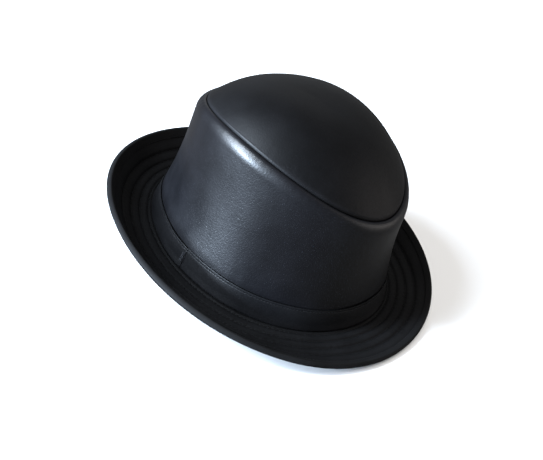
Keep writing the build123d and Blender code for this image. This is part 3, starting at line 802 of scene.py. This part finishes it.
# ---- inside ----
def make_sweatband():
    """Leather band that sits on the head, with a butt seam at the centre back."""
    t = ring_angles(620)
    tt = t[:, None]
    foot = -SWEAT_DROP
    low_rows = foot + np.array([0.05, 0.2, 0.5])
    top_rows = SWEAT_TOP - np.array([1.75, 1.15, 0.65, 0.25, 0])
    v_in = np.concatenate([low_rows, np.linspace(foot + 1, 29.5, 34), top_rows])
    v = np.broadcast_to(v_in[None, :], (len(t), len(v_in)))
    top = np.clip((v - 31.0) / 1.0, 0, 1)
    wave = soft_noise(tt, v / 18, 6, (2, 11), 0.14, 71)
    face = SWEAT_INSIDE - 0.45 * top**2 + wave * np.clip(v / 30, 0, 1)
    face = face - 0.22 * bell(v + 0.8, 0.4) - 0.2 * bell(v - 29.2, 0.4)
    back = np.abs(tt - math.pi) * HEAD_WIDTH
    face = face - 0.6 * bell(back, 0.3)
    v2 = np.broadcast_to(np.linspace(foot + 0.05, SWEAT_TOP, 12)[None, :], (len(t), 12))
    us, vs = wrap(push(wall_at(t, v), v, -face), push(wall_at(t, v2), v2, -SWEAT_FACE))
    wear_and_painted_light = np.zeros_like(us)
    wear_and_painted_light[:, :len(v_in)] = 0.6 * bell(v - 31.6, 0.5) + 0.4 * bell(v - foot - 0.2, 0.5)
    faces = [face[::-1] for face in tube_faces(len(t), us.shape[1])]
    obj = add_mesh("sweatband_leather", place(t, us, np.maximum(vs, foot)), faces, sweat_hide, wear_and_painted_light)
    keep(obj, "sweatband_leather", "sweatband")


def inner_path(v, depth, count=900):
    """Path and normals round the inside, a given depth in from the wall's outer skin."""
    return wall_path(np.linspace(0, TAU, count, endpoint=False), v, lambda heights: -depth, way=-1)


def patch_grid(name, make, nx, ny, thick, material):
    """Thin rounded patch: a grid of points and its underside, closed round the edge."""
    a, b = np.meshgrid(np.linspace(-1, 1, nx), np.linspace(-1, 1, ny), indexing="ij")
    edge = np.minimum(1 - np.abs(a), 1 - np.abs(b))
    puff = thick * np.clip(edge * 14, 0, 1) ** 0.5
    front, back = make(a, b, puff), make(a, b, 0 * a)
    verts = np.concatenate([front.reshape(-1, 3), back.reshape(-1, 3)])
    n = nx * ny
    faces = []
    for i in range(nx - 1):
        for j in range(ny - 1):
            q = [i * ny + j, i * ny + j + 1, (i + 1) * ny + j + 1, (i + 1) * ny + j]
            faces.append(q)
            faces.append([k + n for k in q[::-1]])
    rim = [i * ny for i in range(nx)] + [(nx - 1) * ny + j for j in range(1, ny)]
    rim += [i * ny + ny - 1 for i in range(nx - 2, -1, -1)] + [j for j in range(ny - 2, 0, -1)]
    for k, p in enumerate(rim):
        q = rim[(k + 1) % len(rim)]
        faces.append([p, q, q + n, p + n])
    return add_mesh(name, verts * MM, faces, material)


def make_labels():
    """Blank label under the tip's lining, and blank tab on the sweatband."""
    def place_label(a, b, puff):
        x, y = a * LABEL_HALF_WIDTH, b * LABEL_HALF_LENGTH - CROWN_SHIFT
        return np.stack([x, y, dome(x, y) - LINING_DROP - 0.62 - puff + DECK], -1)

    obj = patch_grid("lining_label_satin", place_label, 41, 65, 0.35, woven)
    keep(obj, "label", "lining_label")

    def place_tab(a, b, puff):
        t = math.pi + a * TAB_HALF_WIDTH / HEAD_LENGTH
        v = TAB_MIDDLE + b * TAB_HALF_HEIGHT
        flat_t, flat_v = t.ravel(), v.ravel()[:, None]
        u = wall_at(flat_t, flat_v) - SWEAT_INSIDE - 0.07 - puff.ravel()[:, None]
        return (place(flat_t, u, flat_v)[:, 0] / MM).reshape(*a.shape, 3)

    obj = patch_grid("size_tab_satin", place_tab, 31, 27, 0.4, woven)
    keep(obj, "label", "size_tab")


def add_stitches(name, line, stitch, *replaced, closed=True):
    """A row of black stitches along a path and its normals."""
    keep(stitch_row(name, *line, stitch, black_thread, 0.6, closed), "thread", *replaced)


def add_brim_rows():
    """Each stitched row shows on the brim's upper leather and on its lower leather."""
    for number, row in enumerate(ROWS, 1):
        name = f"brim_row_{number}"
        add_stitches(f"{name}_stitches", brim_path(row, 0, -0.24), ROW_STITCH, f"brim_row_thread_{number}")
        path, normals = brim_path(row, 0, 0.14 - DECK)
        add_stitches(f"{name}_under", (path, -normals), UNDER_STITCH)


def add_edge_rows():
    """Stitches of the tip seam, the binding, the band's top edge and the sweatband."""
    add_stitches("tip_seam_stitches", seam_path(), SEAM_STITCH, "tip_seam_thread")
    add_brim_rows()
    line = brim_path(1, BINDING_WIDTH - 0.75, BINDING - 0.06)
    add_stitches("binding_stitches", line, BINDING_STITCH, "binding_thread")
    t = np.radians(np.linspace(BAND_END - 359.4, BAND_END - 0.6, 1300))
    line = band_path(t, BAND_ROW, -0.12)
    add_stitches("band_edge_stitches", line, BAND_STITCH, "band_edge_thread", closed=False)
    line = inner_path(-0.8, SWEAT_INSIDE - 0.18)
    add_stitches("sweatband_stitches", line, SWEAT_STITCH, "sweatband_thread")


make_crown_wall()
make_crown_tip()
make_linings()
make_brim_upper()
make_brim_lower()
make_binding()
make_band()
make_tack()
make_sweatband()
make_labels()
add_edge_rows()


# ---- floor, lights, camera ----
def make_floor():
    """Pale studio floor just under the hat."""
    mat, tree, bsdf = shader("pale_floor")
    coord = node(tree, "ShaderNodeTexCoord").outputs["Object"]
    cloud = node(tree, "ShaderNodeTexNoise", Scale=1.5, Detail=2.0)
    tree.links.new(coord, cloud.inputs["Vector"])
    pale = ramp(tree, cloud.outputs["Fac"], (0.86, 0.86, 0.86), (0.88, 0.88, 0.88))
    tree.links.new(pale, bsdf.inputs["Base Color"])
    bsdf.inputs["Roughness"].default_value = 0.8
    bsdf.inputs["Specular IOR Level"].default_value = 0.1
    half, level = 6.0, -0.0004
    corners = [[x, y, level] for x, y in ((-half, -half), (half, -half), (half, half), (-half, half))]
    floor = add_mesh("studio_floor", np.array(corners), [[0, 1, 2, 3]], mat)
    floor.visible_glossy = False


def add_light(name, spot, target, size, power, colour):
    """Rectangular soft light at spot, turned to target."""
    data = bpy.data.lights.new(name, "AREA")
    data.shape = "RECTANGLE"
    data.size, data.size_y = size
    data.energy = power
    data.color = colour
    obj = bpy.data.objects.new(name, data)
    obj.location = spot
    obj.rotation_euler = (Vector(target) - Vector(spot)).to_track_quat("-Z", "Y").to_euler()
    bpy.context.scene.collection.objects.link(obj)
    return obj


def add_camera():
    """Three-quarter view of the hat's front and right side, tilted in the frame."""
    az, el, roll = math.radians(30.45), math.radians(30.84), math.radians(19.93)
    distance = 0.6114
    target = Vector((0, 0, 0.0491))
    right = Vector((math.sin(az), -math.cos(az), 0))
    back = Vector((-math.cos(az) * math.cos(el), -math.sin(az) * math.cos(el), math.sin(el)))
    up = back.cross(right)
    side = math.cos(roll) * right + math.sin(roll) * up
    top = -math.sin(roll) * right + math.cos(roll) * up
    data = bpy.data.cameras.new("camera")
    data.sensor_width = 36
    data.lens = 52.92
    data.shift_x = -0.0206
    data.shift_y = -0.0671
    data.clip_start, data.clip_end = 0.01, 50
    obj = bpy.data.objects.new("camera", data)
    turn = Matrix((side, top, back)).transposed().to_4x4()
    turn.translation = target + distance * back
    obj.matrix_world = turn
    bpy.context.scene.collection.objects.link(obj)
    bpy.context.scene.camera = obj


make_floor()
add_camera()
middle = Vector((0, 0, 0.07))
add_light("window", (-1.42, 0.94, 0.86), middle, (0.40, 1.6), 158, (0.76, 0.87, 1.0))
add_light("low_window", (-1.17, 0.48, 0.17), middle, (0.30, 0.3), 63, (0.66, 0.81, 1.0))
overhead = add_light("overhead", (0.2, -0.2, 1.9), middle, (2.0, 2.0), 30, (1.0, 0.98, 0.95))
overhead.visible_glossy = False
add_light("fill", (1.1, -1.2, 0.7), middle, (1.0, 1.0), 5, (1.0, 0.93, 0.9))
add_light("rear", (1.3, 1.0, 0.6), middle, (1.2, 0.8), 0.8, (0.9, 0.95, 1.0))
world = bpy.data.worlds.new("studio")
world.use_nodes = True
world.node_tree.nodes["Background"].inputs["Color"].default_value = (1, 1, 1, 1)
world.node_tree.nodes["Background"].inputs["Strength"].default_value = 0.22
bpy.context.scene.world = world
bpy.context.scene.view_settings.view_transform = "Standard"
